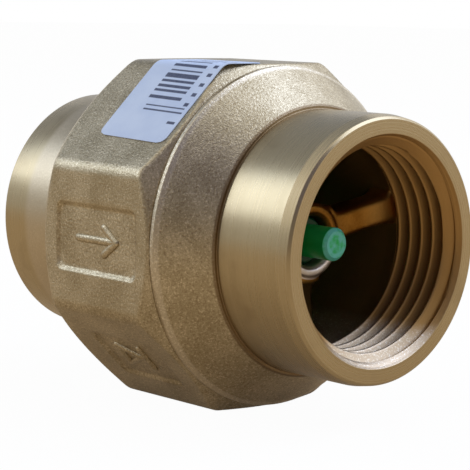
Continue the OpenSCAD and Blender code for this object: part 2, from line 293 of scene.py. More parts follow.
# %% Cards
# direction, distance, (width, height) in metres, colour
CARDS = {
    "card_left_low": ((-0.74, -0.66, 0.09), 0.80, (1.10, 0.32), (0.56, 0.57, 0.58)),
    "card_upper_left": ((-0.66, 0.14, 0.70), 0.80, (1.00, 0.62), (0.34, 0.38, 0.46)),
    "card_far_left": ((-0.70, 0.70, 0.16), 0.82, (0.60, 0.34), (0.60, 0.62, 0.66)),
    "card_camera_side": ((0.45, -0.88, 0.10), 0.78, (1.50, 0.55), (0.24, 0.22, 0.22)),
    "card_over_camera": ((0.60, -0.40, 0.68), 0.82, (1.10, 0.70), (0.20, 0.19, 0.27)),
    "card_right": ((0.95, -0.05, 0.26), 0.84, (0.70, 0.76), (0.26, 0.22, 0.17)),
}
for name, (direction, distance, (width, height), colour) in CARDS.items():
    tone = Finish(name)
    tone.end_with(tone.node("ShaderNodeEmission", {}, {"Color": (*colour, 1), "Strength": 1}))
    card = sheet(name, width, height, tone)
    stand_off(card, direction, distance)
    card.visible_camera = card.visible_diffuse = card.visible_shadow = False
print("cards:", ", ".join(CARDS))

# %% [markdown]
# ## Making pieces
# Nearly everything in a valve is turned, so most pieces are an outline spun about the flow axis. A
# grid of points does that: one row for each point of the outline, and one column for each step of
# the turn. Real edges are never quite sharp, so `softened` puts a small arc on each corner of the
# outline, which is what catches the light along an edge.

# %% Grids and outlines
# a corner whose half angle is above this gets no arc, and an arc takes at most this share of a side
STRAIGHT, LONGEST_REACH = math.radians(88), 0.45
SPIN_COLUMNS = 192


def grid_faces(rows, columns, rows_close=False, columns_close=False):
    """The quads of a grid of points, counted row by row."""
    i = np.arange(rows if rows_close else rows - 1)[:, None]
    j = np.arange(columns if columns_close else columns - 1)[None, :]
    i_next, j_next = (i + 1) % rows, (j + 1) % columns
    corners = [i * columns + j, i * columns + j_next, i_next * columns + j_next, i_next * columns + j]
    return np.stack(np.broadcast_arrays(*corners), -1).reshape(-1, 4)


def rod_faces(rings, sides):
    """The faces of a rod that is made of rings of points, with a cap on each end."""
    caps = [tuple(reversed(range(sides))), tuple(range((rings - 1) * sides, rings * sides))]
    return [tuple(f) for f in grid_faces(rings, sides, False, True)] + caps


def joined(parts):
    """The points and faces of several parts put together."""
    points, faces = [], []
    for part_points, part_faces in parts:
        faces += [tuple(len(points) + k for k in face) for face in part_faces]
        points += list(part_points)
    return points, faces


def softened(outline, steps=4):
    """A closed outline of (x, radius, edge radius) with an arc at each corner."""
    points = []
    for k, (x, r, edge) in enumerate(outline):
        corner = np.array((x, r))
        before = np.array(outline[k - 1][:2]) - corner
        after = np.array(outline[(k + 1) % len(outline)][:2]) - corner
        lengths = np.linalg.norm(before), np.linalg.norm(after)
        before, after = before / lengths[0], after / lengths[1]
        half = math.acos(np.clip(before @ after, -1, 1)) / 2
        if edge == 0 or half > STRAIGHT:
            points.append(corner)
            continue
        reach = min(edge / math.tan(half), LONGEST_REACH * lengths[0], LONGEST_REACH * lengths[1])
        radius = reach * math.tan(half)
        middle = (before + after) / np.linalg.norm(before + after)
        centre = corner + middle * radius / math.sin(half)
        start, end = corner + before * reach - centre, corner + after * reach - centre
        swing = math.acos(np.clip(start @ end / radius**2, -1, 1))
        for t in np.linspace(0, 1, steps + 1):
            turned = math.sin((1 - t) * swing) * start + math.sin(t * swing) * end
            points.append(centre + turned / math.sin(swing))
    return np.array(points)


def around_axis(x, r, turn):
    """Points at a place along the flow axis, a radius and an angle round it. +Y is angle 0."""
    return np.stack(np.broadcast_arrays(x, r * np.cos(turn), r * np.sin(turn)), -1)


def spun(outline, columns=SPIN_COLUMNS):
    """Points and faces of an outline of (x, radius), in mm, spun about the flow axis."""
    turn = np.linspace(0, 2 * math.pi, columns, endpoint=False)
    points = around_axis(outline[:, :1], outline[:, 1:], turn)
    return points.reshape(-1, 3), grid_faces(len(outline), columns, True, True)


print("an outline is spun in", SPIN_COLUMNS, "columns")

# %% Pieces
CRISP_ABOVE = 38


def piece(name, points, faces, finish, body, slot, stands_for=(), sharp_above=CRISP_ABOVE, even=False):
    """One mesh piece in mm, with smooth faces and crisp edges, riding on a body."""
    mesh = bpy.data.meshes.new(name)
    mesh.from_pydata((np.asarray(points) * MM).tolist(), [], [tuple(f) for f in faces])
    shape = bmesh.new()
    shape.from_mesh(mesh)
    bmesh.ops.recalc_face_normals(shape, faces=shape.faces)
    shape.to_mesh(mesh)
    shape.free()
    mesh.polygons.foreach_set("use_smooth", [True] * len(mesh.polygons))
    mesh.set_sharp_from_angle(angle=math.radians(sharp_above))
    mesh.materials.append(finish.material)
    made = bpy.data.objects.new(name, mesh)
    bpy.context.scene.collection.objects.link(made)
    if even:
        made.modifiers.new("even_normals", "WEIGHTED_NORMAL").keep_sharp = True
    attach(made, body)
    if stands_for:
        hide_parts(*stands_for)
    print(f"{name}: {len(mesh.polygons)} faces")
    return made


print("edges stay crisp above", CRISP_ABOVE, "degrees")

# %% [markdown]
# ## Brass
# The body is forged hot and then blasted, which leaves a dull khaki skin with a fine glittering
# grain. Where the lathe has been, on the collars and the insides, the same metal is brighter,
# smoother and ringed by the tool. The outlet's thread, which was cut last, shows the metal's own
# golden colour. Some edges and the thread's bottom are painted pale as painted highlights, and a
# corner is painted dark as painted shade. One recipe makes all of these, and masks say where each
# one is. Metal has no colour of its own under its shine, so the base colour is the tint of the
# reflection, and the grain works through roughness and bump.

# %% Colours and sizes of the brass
FORGED_DARK, FORGED_PALE = (0.395, 0.325, 0.205), (0.715, 0.620, 0.440)
SMOOTH_FORGED = (0.560, 0.465, 0.325)
TURNED_DARK, TURNED_PALE = (0.410, 0.322, 0.182), (0.545, 0.442, 0.275)
CUT_DARK, CUT_PALE = (0.330, 0.190, 0.066), (0.500, 0.310, 0.120)
# the first colour is tarnish in pits and clouds, and also painted shade in a corner; the second is a
# painted highlight
TARNISH_AND_SHADE, HIGHLIGHT_PALE = (0.17, 0.105, 0.050), (0.80, 0.72, 0.58)
GRAIN_MM, FINE_GRAIN_MM, CLOUD_MM = 0.30, 0.15, 5
TOOL_LINE_MM, TOOL_BAND_MM = 0.16, 1.2
GRAIN_DEPTH_MM, LINE_DEPTH_MM = 0.062, 0.006
print("grain", GRAIN_DEPTH_MM, "mm deep, tool lines", LINE_DEPTH_MM, "mm deep")

# %% Brass recipe
def brass(name, where_turned, where_smooth=None, where_shaded=None, where_cut=None, where_painted_highlight=None):
    """Forged brass. Each function makes a mask over it, which is 1 where the metal has that state."""
    metal = Finish(name)
    turned = where_turned(metal)
    rough = 1 - where_smooth(metal) if where_smooth else 1
    grain, fine = metal.noise(GRAIN_MM, 2), metal.noise(FINE_GRAIN_MM, 2)
    clouds = metal.noise(CLOUD_MM, 3)
    lines, bands = metal.rings(TOOL_LINE_MM, 4), metal.rings(TOOL_BAND_MM, 2)

    speckle = grain * 0.6 + fine * 0.4
    glitter, pits = metal.step(speckle, 0.52, 0.68), metal.step(speckle, 0.47, 0.34)
    forged = metal.mix(metal.step(clouds, 0.3, 0.7) * 0.4 + glitter * 0.7, FORGED_DARK, FORGED_PALE)
    forged = metal.mix(pits * 0.45, forged, TARNISH_AND_SHADE)
    if where_smooth:
        forged = metal.mix(rough, SMOOTH_FORGED, forged)
    lathe = metal.mix(lines * 0.6 + bands * 0.4, TURNED_DARK, TURNED_PALE)
    lathe = metal.mix(metal.step(clouds, 0.55, 0.8) * 0.25, lathe, TARNISH_AND_SHADE)
    colour = metal.mix(turned, forged, lathe)
    roughness = metal.node("ShaderNodeMix", {"data_type": "FLOAT"},
                           {0: turned, 2: 0.31 + clouds * 0.12, 3: 0.20 + lines * 0.12 + clouds * 0.06})
    # painted shade: this mask darkens the metal in a corner, where shade falls
    if where_shaded:
        colour = metal.mix(where_shaded(metal) * (0.6 + clouds * 0.3), colour, TARNISH_AND_SHADE)
    if where_cut:
        cut = where_cut(metal)
        colour = metal.mix(cut, colour, metal.mix(clouds * 0.5 + lines * 0.5, CUT_DARK, CUT_PALE))
        roughness = roughness + cut * 0.20
    # painted highlight: this mask paints the metal pale where light catches it
    if where_painted_highlight:
        colour = metal.mix(where_painted_highlight(metal) * (0.40 + glitter * 0.60), colour, HIGHLIGHT_PALE)

    relief = metal.bump((grain * 0.65 + fine * 0.35) * rough, GRAIN_DEPTH_MM)
    ringed = metal.bump(lines, LINE_DEPTH_MM)
    facing = metal.node("ShaderNodeMix", {"data_type": "VECTOR"}, {0: turned, 4: relief, 5: ringed}, 1)
    return metal.surface(base_color=colour, metallic=1.0, roughness=roughness, normal=facing)


# in the list below, the dirty state is painted shade in a corner, and the last state is a painted
# highlight
print("states of the brass: forged, smooth, turned, dirty, cut and worn")

# %% Brass of the body
COLLAR_BORDER, NECK_BORDER = -21.6 * MM, -15.3 * MM
INSIDE_RADIUS = 15.4 * MM
NECK_SMOOTHNESS = 0.75


def turned_on_body(m):
    """The collar at the inlet, and everything inside."""
    collar = m.step(m.x, COLLAR_BORDER + 0.7 * MM, COLLAR_BORDER - 0.7 * MM)
    inside = m.step(m.radius, INSIDE_RADIUS + 0.1 * MM, INSIDE_RADIUS - 0.1 * MM)
    return m.node("ShaderNodeMath", {"operation": "MAXIMUM"}, {0: collar, 1: inside})


body_brass = brass("forged_brass", turned_on_body,
                   lambda m: m.step(m.x, NECK_BORDER + 0.5 * MM, NECK_BORDER) * NECK_SMOOTHNESS)
print(body_brass.material.name, "has", len(body_brass.tree.nodes), "nodes")

# %% [markdown]
# ## Body
# The body is an eight-sided forging. At its inlet end a 45 degree shoulder runs down to a round
# neck, and the lathe has turned the neck's end bright. A plain intersection of prism and cone would
# have knife edges, and a forging has none. So the skin is computed as one radius for each place
# along the axis and each angle round it: the smaller of the octagon's radius and the shoulder's,
# blended where they are nearly equal. Two flats carry a shallow sunk panel.

# %% The body's sizes
FLAT_R, CORNER_EDGE, RIM_R = 21.0, 2.3, 20.8
INLET_END, JOINT = -26.75, 9.15
INLET_COLLAR_R, COLLAR_END, NECK_END, CORNER_START = 15.6, -21.6, -15.75, -8.85
NECK_BLEND, SHOULDER_BLEND, RIM_BLEND = 1.4, 0.5, 0.25
EIGHTH = math.pi / 4
CORNER_CENTRE_R = (FLAT_R - CORNER_EDGE) / math.cos(EIGHTH / 2)
CORNER_R = CORNER_CENTRE_R + CORNER_EDGE
FRONT_FLAT, LOWER_FRONT_FLAT, UPPER_FRONT_FLAT = math.pi, math.pi + EIGHTH, math.pi - EIGHTH
# each panel's middle, half length and half height
PANELS = {FRONT_FLAT: (-0.45, 7.3, 4.0), LOWER_FRONT_FLAT: (0.15, 5.5, 4.0)}
PANEL_DEPTH, PANEL_EDGE, PANEL_CORNER = 0.35, 0.60, 0.9


def octagon_radius(turn):
    """Distance from the axis to the octagon with rounded corners."""
    off_flat = (turn + EIGHTH / 2) % EIGHTH - EIGHTH / 2
    off_corner = EIGHTH / 2 - np.abs(off_flat)
    rounded = np.sqrt(np.maximum(CORNER_EDGE**2 - (CORNER_CENTRE_R * np.sin(off_corner))**2, 0))
    at_corner = np.abs(off_flat) > math.atan((FLAT_R - CORNER_EDGE) * math.tan(EIGHTH / 2) / FLAT_R)
    return np.where(at_corner, CORNER_CENTRE_R * np.cos(off_corner) + rounded, FLAT_R / np.cos(off_flat))


def blended_min(a, b, blend):
    """The smaller of two sizes, rounded over where they differ by less than blend."""
    near = np.maximum(blend - np.abs(a - b), 0) / blend
    return np.minimum(a, b) - near**2 * blend / 4


def smooth_step(t):
    """A soft rise from 0 to 1."""
    t = np.clip(t, 0, 1)
    return t * t * (3 - 2 * t)


def panel_sink(x, turn):
    """How far the skin is pressed in by the sunk panels."""
    sink = np.zeros(np.broadcast(x, turn).shape)
    for flat, (middle, half_l, half_h) in PANELS.items():
        off_flat = np.arctan2(np.sin(turn - flat), np.cos(turn - flat))
        across = FLAT_R * np.tan(np.clip(off_flat, -EIGHTH, EIGHTH))
        dx = np.abs(x - middle) - half_l + PANEL_CORNER
        dy = np.abs(across) - half_h + PANEL_CORNER
        outside = (np.hypot(np.maximum(dx, 0), np.maximum(dy, 0))
                   + np.minimum(np.maximum(dx, dy), 0) - PANEL_CORNER)
        sink += PANEL_DEPTH * smooth_step(0.5 - outside / PANEL_EDGE) / np.cos(off_flat)
    return sink


def body_radius(x, turn):
    """Distance from the axis to the forged skin."""
    shoulder = INLET_COLLAR_R + x - NECK_END
    neck_and_shoulder = -blended_min(-INLET_COLLAR_R, -shoulder, NECK_BLEND)
    forged = blended_min(octagon_radius(turn), neck_and_shoulder, SHOULDER_BLEND)
    chamfered = blended_min(forged, RIM_R + (JOINT - x), RIM_BLEND)
    return chamfered - panel_sink(x, turn)


print("corner radius in mm:", round(CORNER_R, 2))

# %% Lines of the skin
SKIN_STEP, SHOULDER_STEP, EDGE_STEP = 0.45, 0.12, 0.08
SKIN_DEGREES, CORNER_TURN = 2.25, math.radians(0.45)
SHOULDER_REACH, EDGE_REACH, CORNER_REACH = 1.4, 0.3, math.radians(2.8)
CHAMFER_LINES = np.arange(7, 9.0, SHOULDER_STEP)


def fine_lines(coarse, places, reach, spacing):
    """Grid lines, close together near the places where the shape turns."""
    near = [np.arange(p - reach, p + reach + spacing / 2, spacing) for p in places]
    lines = np.unique(np.round(np.concatenate([coarse, *near]), 5))
    return lines[np.concatenate([[True], np.diff(lines) > spacing * 0.4])]


panel_ends = [middle + side * half_l for middle, half_l, _ in PANELS.values() for side in (-1, 1)]
shoulder_top = (CORNER_START + FLAT_R - CORNER_R + CORNER_START) / 2
skin_x = fine_lines(np.arange(COLLAR_END, JOINT, SKIN_STEP), [NECK_END, shoulder_top],
                    SHOULDER_REACH, SHOULDER_STEP)
skin_x = fine_lines(skin_x, panel_ends, EDGE_REACH, EDGE_STEP)
before_chamfer = skin_x[(skin_x >= COLLAR_END) & (skin_x < CHAMFER_LINES[0])]
skin_x = np.unique(np.round(np.concatenate([before_chamfer, CHAMFER_LINES]), 5))
corner_turns = [k * EIGHTH + EIGHTH / 2 for k in range(8)]
panel_turns = [flat + side * math.atan(half_h / FLAT_R)
               for flat, (_, _, half_h) in PANELS.items() for side in (-1, 1)]
skin_turn = fine_lines(np.radians(np.arange(0, 360, SKIN_DEGREES)), corner_turns,
                       CORNER_REACH, CORNER_TURN)
skin_turn = fine_lines(skin_turn, panel_turns, EDGE_REACH / FLAT_R, EDGE_STEP / FLAT_R)
skin_turn = skin_turn[skin_turn < 2 * math.pi - 0.001]
print("lines along the skin:", len(skin_x), "and round it:", len(skin_turn))

# %% Body skin
MOUTH_R, ROOT_R, FACE_R = 13.67, 13.22, 14.85
SEAL_STEP_R, SOCKET_R, CHAMBER_R, FLOOR_R, SEAT_R, WAY_IN_R = 17.49, 15.99, 15.19, 11.6, 10.4, 9.8
SEAL_STEP_END, SOCKET_END, SEAT_X, CHAMBER_FLOOR = 7.65, 2.75, -10.25, -11.25

lip = softened([(INLET_END, MOUTH_R, 0.1), (INLET_END, FACE_R, 0.2), (-26.0, INLET_COLLAR_R, 0.2),
                (COLLAR_END - 0.3, INLET_COLLAR_R, 0), (COLLAR_END, 14, 0)])
collar = [p for p in lip if p[0] < COLLAR_END - 0.2]
joint_edge = [(JOINT - 0.12, 0), (JOINT - 0.05, 0.02), (JOINT - 0.01, 0.07), (JOINT, 0.14)]
bore = [(JOINT, SEAL_STEP_R), (SEAL_STEP_END, SEAL_STEP_R), (SEAL_STEP_END, SOCKET_R),
        (SOCKET_END, SOCKET_R), (SOCKET_END, CHAMBER_R), (SEAT_X, CHAMBER_R),
        (CHAMBER_FLOOR, CHAMBER_R - 1), (CHAMBER_FLOOR, FLOOR_R), (SEAT_X, SEAT_R),
        (SEAT_X, WAY_IN_R), (-13.65, WAY_IN_R), (-17.1, ROOT_R), (-26.3, ROOT_R)]

rows = [around_axis(x, r, skin_turn) for x, r in collar]
rows += [around_axis(x, body_radius(x, skin_turn), skin_turn) for x in skin_x]
rows += [around_axis(x, body_radius(x, skin_turn) - cut, skin_turn) for x, cut in joint_edge]
rows += [around_axis(x, r, skin_turn) for x, r in bore]
piece("body_skin", np.concatenate(rows), grid_faces(len(rows), len(skin_turn), True, True),
      body_brass, "housing", "forged_brass", ["body"])

# %% [markdown]
# ## Marks in the sunk panels
# The panels carry raised marks from the die. The front one gets a flow arrow, which every
# non-return valve needs, and the lower one the drawing sign for such a valve, a triangle against a
# bar. A die is cut with a small round tool, so each stroke stands up as a round bead: rows of
# half-round sections along the stroke, smaller towards its two ends.

# %% Raised marks
BEAD_SIDES, BEAD_STEPS = 9, 14
# in radians, how far a section reaches below the floor and how near the last one is to the tip
BEAD_FOOT, BEAD_TIP, SMALLEST = 0.25, 0.12, 0.02


def bead(start, end, width, rise, flat, middle):
    """One round stroke on a panel's floor, between two points along the flow and upwards, in mm."""
    start, end = np.array(start, float), np.array(end, float)
    length = np.linalg.norm(end - start)
    along = (end - start) / length
    beside = np.array((-along[1], along[0]))
    outwards = np.array((0, math.cos(flat), math.sin(flat)))
    upwards = np.array((0, math.sin(flat), -math.cos(flat)))
    floor_r = FLAT_R - PANEL_DEPTH
    closer_at_tips = (1 - np.cos(np.linspace(BEAD_TIP, math.pi - BEAD_TIP, BEAD_STEPS))) / 2
    points = []
    for t in closer_at_tips * (length + width) - width / 2:
        past = max(-t, t - length, 0) / (width / 2)
        share = math.sqrt(max(1 - past**2, SMALLEST))
        for a in np.linspace(-BEAD_FOOT, math.pi + BEAD_FOOT, BEAD_SIDES):
            u, v = start + along * t + beside * math.cos(a) * width / 2 * share
            height = floor_r + math.sin(a) * rise * share
            points.append(np.array((middle + u, 0, 0)) + upwards * v + outwards * height)
    return points, rod_faces(BEAD_STEPS, BEAD_SIDES)


def mark(name, flat, width, rise, strokes):
    """A raised mark made of round strokes, in the middle of the panel on a flat."""
    middle = PANELS[flat][0]
    points, faces = joined([bead(start, end, width, rise, flat, middle) for start, end in strokes])
    return piece(name, points, faces, body_brass, "housing", "forged_brass", sharp_above=75)


mark("flow_arrow", FRONT_FLAT, 1.00, 0.34,
     [((-3.6, 0), (3.3, 0)), ((1.3, 1.6), (3.5, 0)), ((1.3, -1.6), (3.5, 0))])
mark("valve_sign", LOWER_FRONT_FLAT, 0.90, 0.36,
     [((-2.6, -1.8), (-2.6, 1.8)), ((-2.6, 1.8), (0.7, 0)), ((-2.6, -1.8), (0.7, 0)),
      ((1.6, -1.9), (1.6, 1.9))])

# %% [markdown]
# ## End connector
# The outlet end is a second forging. Its collar and mouth are turned bright, and its shoulder keeps
# the blasted skin. The narrow rim against the body was turned and then blasted lightly, and its edge
# is painted pale as a painted highlight. The thread in the mouth has the colour of fresh brass, and
# its bottom is painted silvery as a painted pool of light. The corner at the collar's foot is painted
# dark as painted shade. All of that is one outline, spun.

# %% Brass of the end connector
OUTLET_END, SHOULDER_END, RIM_END = 26.75, 15.35, 10.15
# where the masks begin and where they are full
RIM_EDGE, RIM_TURNED = (20.1 * MM, 20.4 * MM), (20.2 * MM, 20.4 * MM)
THREAD_SKIN, THREAD_BOTTOM = (13.75 * MM, 13.6 * MM), (-9.2 * MM, -11.2 * MM)


def turned_on_connector(m):
    """The collar and its mouth, and a little on the rim."""
    collar = m.step(m.x, (SHOULDER_END - 0.05) * MM, (SHOULDER_END + 0.05) * MM)
    rim = 0.10 * m.step(m.x, (RIM_END + 0.15) * MM, RIM_END * MM) * m.step(m.radius, *RIM_TURNED)
    return collar + rim


def highlight_on_connector(m):
    """Painted highlights: the rim's edge, and a pool of light at the bottom of the thread."""
    rim = 0.9 * m.step(m.x, (RIM_END + 0.3) * MM, RIM_END * MM) * m.step(m.radius, *RIM_EDGE)
    bottom = 1.2 * m.step(m.radius, *THREAD_SKIN) * m.step(m.z, *THREAD_BOTTOM)
    return rim + bottom


connector_brass = brass(
    "turned_brass", turned_on_connector,
    # painted shade: the corner at the collar's foot is painted dark
    where_shaded=lambda m: m.between(m.x, (SHOULDER_END - 0.25) * MM, (SHOULDER_END + 0.1) * MM, 0.1 * MM),
    where_cut=lambda m: m.step(m.radius, *THREAD_SKIN),
    # painted highlight: the rim's edge and the thread's bottom are painted pale
    where_painted_highlight=highlight_on_connector)
print(connector_brass.material.name, "has", len(connector_brass.tree.nodes), "nodes")

# %% End connector shell
COLLAR_R, SPIGOT_R, BARREL_R = 15.9, 15.89, 12.7
SPIGOT_END, BARREL_END, THREAD_START = 2.75, 17.05, 26.05
shell_outline = softened([
    (OUTLET_END, MOUTH_R, 0.08), (OUTLET_END, 15.38, 0.08), (OUTLET_END - 0.3, 15.66, 0.10),
    (25.1, COLLAR_R, 0.8), (SHOULDER_END, COLLAR_R, 0.1), (SHOULDER_END, 16.25, 0.12),
    (RIM_END, 20.45, 0.30), (RIM_END - 0.35, RIM_R, 0.25), (JOINT + 0.06, RIM_R, 0.1),
    (JOINT + 0.02, COLLAR_R, 0.05), (SPIGOT_END + 0.3, SPIGOT_R, 0.1), (SPIGOT_END, SPIGOT_R - 0.3, 0.1),
    (SPIGOT_END, BARREL_R, 0.1), (BARREL_END, BARREL_R, 0.05), (BARREL_END, 13.52, 0.05),
    (17.3, ROOT_R, 0.05), (THREAD_START, ROOT_R, 0.05)])
piece("connector_shell", *spun(shell_outline), connector_brass, "housing", "turned_brass",
      ["end_connector"], even=True)

# %% [markdown]
# ## Guide in the outlet
# Three arms hold a hub, and the poppet's stem slides in the hub. The arms are cast with the
# connector, so they grow out of its wall and the hub with fillets, and their front rises smoothly
# towards the wall. Each arm is a row of squarish rings, wide at both ends. A voxel remesh joins the
# arms and the hub into one skin and rounds their corners as a casting does. No air and no blasting
# grit has reached it, so it has kept the metal's own golden colour. That colour is kept dark, in part
# as painted shade inside the mouth, and is painted brighter near the wall as painted light. The
# hub's lower edge is painted pale as a painted highlight, and the lower part is painted dark as
# painted shade.

# %% Golden brass of the guide
GOLD_DARK, GOLD_PALE, GOLD_LIT_AT_WALL = (0.260, 0.115, 0.018), (0.400, 0.190, 0.036), (0.72, 0.43, 0.13)
# a painted highlight colour for the hub, and a painted shade colour for the lower part
HUB_HIGHLIGHT_PALE, SHADE_BELOW = (0.78, 0.70, 0.63), (0.008, 0.006, 0.003)

golden = Finish("golden_brass")
grain, clouds = golden.noise(0.35, 3), golden.noise(2.2, 2)
casting_lines = golden.noise(0.3, 2, (0.3, 1, 0.3))
# the golden colour is dark in part as painted shade inside the mouth
bright = golden.mix(golden.step(clouds * 0.6 + grain * 0.4, 0.35, 0.68), GOLD_DARK, GOLD_PALE)
# painted light: the colour is brighter towards the wall
bright = golden.mix(golden.step(golden.radius, 7.5 * MM, 11.5 * MM) * 0.8, bright, GOLD_LIT_AT_WALL)
# painted highlight: the hub's lower edge is painted pale
painted_highlight = golden.step(golden.radius, 4.75 * MM, 4.55 * MM) * golden.step(golden.z, -1.5 * MM, -2.6 * MM)
bright = golden.mix(painted_highlight, bright, HUB_HIGHLIGHT_PALE)
# painted shade: the lower part of the guide is painted dark, and made rougher
shaded_below = golden.step(golden.z, -4.4 * MM, -5.2 * MM)
guide_brass = golden.surface(
    base_color=golden.mix(shaded_below * (0.82 + clouds * 0.15), bright, SHADE_BELOW),
    metallic=1.0, roughness=0.34 + clouds * 0.12 + shaded_below * 0.25,
    normal=golden.bump(grain * 0.5 + casting_lines * 0.5, 0.020))
print(guide_brass.material.name, "has", len(guide_brass.tree.nodes), "nodes")

# %% Guide
ARM_TURNS = [math.radians(16.5 + k * 120) for k in range(3)]
HUB_R, HUB_BORE_R, ARM_HALF_W, ARM_FILLET = 4.65, 3.05, 1.7, 1.3
ARM_RINGS = [*np.linspace(3.9, 6.2, 12), *np.linspace(6.6, 11, 9), *np.linspace(11.3, 13.3, 11)]
RING_SIDES, SQUARENESS = 28, 0.35
# the arm's front and back: where they start at the hub and end at the wall
ARM_SLOPE, ARM_FRONT, ARM_BACK = (3.9, 12.9), (14.85, 17.05), (9.45, 13.05)
VOXEL, RELAXING = 0.13, 3


def arm(turn):
    """One arm from inside the hub to inside the wall."""
    outwards = np.array((0, math.cos(turn), math.sin(turn)))
    across = np.array((0, -math.sin(turn), math.cos(turn)))
    points = []
    for r in ARM_RINGS:
        widen = 0
        for gap in (r - HUB_R, BARREL_R - r):
            t = np.clip(ARM_FILLET - gap, 0, ARM_FILLET)
            widen += ARM_FILLET - math.sqrt(ARM_FILLET**2 - t**2)
        half = ARM_HALF_W + min(widen, ARM_FILLET)
        slope = smooth_step((r - ARM_SLOPE[0]) / (ARM_SLOPE[1] - ARM_SLOPE[0]))
        front, back = (at_hub + (at_wall - at_hub) * slope for at_hub, at_wall in (ARM_FRONT, ARM_BACK))
        for a in np.linspace(0, 2 * math.pi, RING_SIDES, endpoint=False):
            c, s = math.cos(a), math.sin(a)
            # a squarish ring: the power pushes the points out towards the corners
            u = math.copysign(abs(c) ** SQUARENESS, c) * half
            v = math.copysign(abs(s) ** SQUARENESS, s) * (front - back) / 2
            points.append(outwards * r + across * u + np.array(((front + back) / 2 + v, 0, 0)))
    return points, rod_faces(len(ARM_RINGS), RING_SIDES)


def remeshed(made, voxel_mm, smoothing):
    """Replaces a piece's mesh by one closed skin of even small faces."""
    join = made.modifiers.new("join", "REMESH")
    join.mode, join.voxel_size = "VOXEL", voxel_mm * MM
    relax = made.modifiers.new("relax", "SMOOTH")
    relax.factor, relax.iterations = 0.5, smoothing
    evaluated = made.evaluated_get(bpy.context.evaluated_depsgraph_get())
    mesh = bpy.data.meshes.new_from_object(evaluated)
    mesh.polygons.foreach_set("use_smooth", [True] * len(mesh.polygons))
    made.modifiers.clear()
    made.data = mesh
    print(f"{made.name}: one skin of {len(mesh.polygons)} faces")


hub = spun(softened([
    (8.85, HUB_BORE_R + 0.15, 0), (8.85, HUB_R - 0.3, 0.2), (9.3, HUB_R, 0.2), (14.6, HUB_R, 0.2),
    (15.15, HUB_R - 0.45, 0.25), (15.15, HUB_BORE_R + 0.5, 0.1), (14.65, HUB_BORE_R, 0.1),
    (9.0, HUB_BORE_R, 0)]), 96)
guide_points, guide_faces = joined([hub, *map(arm, ARM_TURNS)])
guide = piece("outlet_guide", guide_points, guide_faces, guide_brass, "housing", "turned_brass")
remeshed(guide, VOXEL, RELAXING)

# %% [markdown]
# ## Pipe threads
# Both mouths carry a 3/4 inch parallel pipe thread: pitch 1.814 mm, crests at a radius of 12.06 mm
# and roots at 13.22 mm, right-handed. A thread is one ridge, so it is made as one: a rounded
# 55 degree section carried along a helix. Its foot lies behind the wall. It starts just outside the
# mouth, where it is held back behind the mouth's chamfer, so it grows out of that as a cut thread
# does. At its deep end it sinks back into the wall.

# %% Threads
PITCH, CREST_R = 1.814, 12.06
# the chamfer's reach inwards, the depth of the foot behind the wall, and the least depth in the mouth
LEAD, BURIED, MOUTH_SKIN = 0.55, 0.44, 0.16
START_OUTSIDE, SINKING_TURNS, STEPS_A_TURN = 0.9, 0.2, 120
HALF_RIDGE = [(-0.86, 13.66), (-0.755, 13.24), (-0.60, 12.98), (-0.26, 12.30), (-0.19, 12.16),
              (-0.09, 12.08)]
RIDGE = HALF_RIDGE + [(0, CREST_R)] + [(-dx, r) for dx, r in reversed(HALF_RIDGE)]


def thread(name, mouth, into, crest_at_y, deepest, finish, slot):
    """A right-handed ridge between a mouth and its deepest crest. into is the way in, +1 or -1."""
    ends = sorted((mouth - into * START_OUTSIDE, mouth + into * deepest))
    turns = np.arange((ends[0] - crest_at_y) / PITCH, (ends[1] - crest_at_y) / PITCH, 1 / STEPS_A_TURN)
    foot_r = ROOT_R + BURIED
    points = []
    for turn in turns:
        x = crest_at_y + turn * PITCH
        left = (ends[1] - x if into > 0 else x - ends[0]) / PITCH
        grown = smooth_step(left / SINKING_TURNS)
        for dx, r in RIDGE:
            depth = max((x + dx - mouth) * into, MOUTH_SKIN)
            r = foot_r - (foot_r - r) * grown
            r = min(max(r, ROOT_R + LEAD - depth), foot_r)
            points.append(around_axis(mouth + into * depth, r, 2 * math.pi * turn))
    return piece(name, points, rod_faces(len(turns), len(RIDGE)), finish, "housing", slot, sharp_above=60)


thread("outlet_thread", OUTLET_END, -1, 23.3, 9.6, connector_brass, "turned_brass")
thread("inlet_thread", INLET_END, 1, -24.0, 9.0, body_brass, "forged_brass")

# %% [markdown]
# ## Moulded and rubber pieces
# The poppet is green nylon: slightly clear, satin, with flow marks from the mould. Its tip shows in
# the mouth. The rubber is matt with a dusty bloom. These solids have the right shape, so they keep
# it and only get a finish.

# %% Plastic and rubber
GREEN_DEEP, GREEN_PALE, FROST = (0.003, 0.400, 0.070), (0.008, 0.500, 0.120), (0.12, 0.54, 0.46)
# a painted shade colour for the recess at the hub
RECESS_SHADE = (0.003, 0.020, 0.010)
RUBBER_BLACK, RUBBER_BLOOM = (0.012, 0.012, 0.013), (0.045, 0.043, 0.040)
TIP_END, HUB_RECESS = 18.95 * MM, (12.6 * MM, 14.05 * MM)


